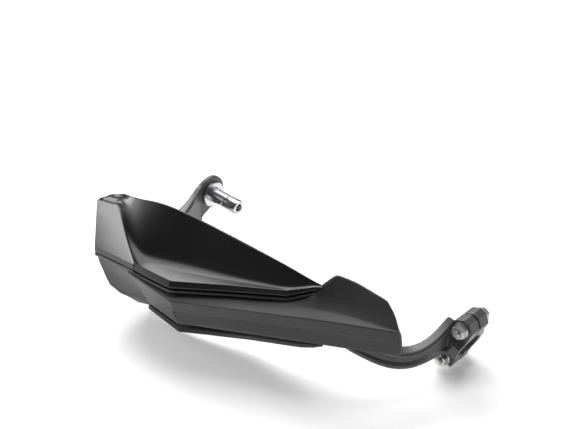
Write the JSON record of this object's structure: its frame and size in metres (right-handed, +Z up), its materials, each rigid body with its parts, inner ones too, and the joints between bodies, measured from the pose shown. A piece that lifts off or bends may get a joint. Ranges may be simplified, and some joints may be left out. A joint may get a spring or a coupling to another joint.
{
  "type": "motorcycle hand guard",
  "caption": "Right-hand motorcycle hand guard: creased moulded shell with a scooped panel, on cast arms from a bar-end plug to a handlebar clamp.",
  "frame": {"origin": "centre of the inboard face of the bar-end plug's collar, on the plug's axis", "axes": "+X inboard along the bar-end plug, +Y rearward to the rider, +Z up"},
  "size_m": [0.2922, 0.1625, 0.1046],
  "materials": {
    "shell_plastic": "fine-textured satin black moulding",
    "panel_plastic": "smooth satin black moulding",
    "deflector_plastic": "fine-textured black moulding",
    "coated_arm": "dark grey powder coat on cast aluminium",
    "turned_aluminium": "bright turned aluminium",
    "zinc_steel": "zinc-plated steel",
    "insert_brass": "plain brass"
  },
  "bodies": {
    "root": {"main_shell": "shell_plastic", "upper_panel": "panel_plastic", "lower_deflector": "deflector_plastic", "outer_arm": "coated_arm", "inner_arm": "coated_arm", "clamp_cap": "coated_arm", "clamp_bolts": "zinc_steel", "clamp_nuts": "zinc_steel", "plug_sleeve": "turned_aluminium", "plug_wedge": "turned_aluminium", "bar_end_bolt": "zinc_steel", "bar_end_washer": "zinc_steel", "shell_screws": "zinc_steel", "shell_inserts": "insert_brass", "panel_screws": "zinc_steel", "deflector_screws": "zinc_steel"}
  },
  "joints": []
}
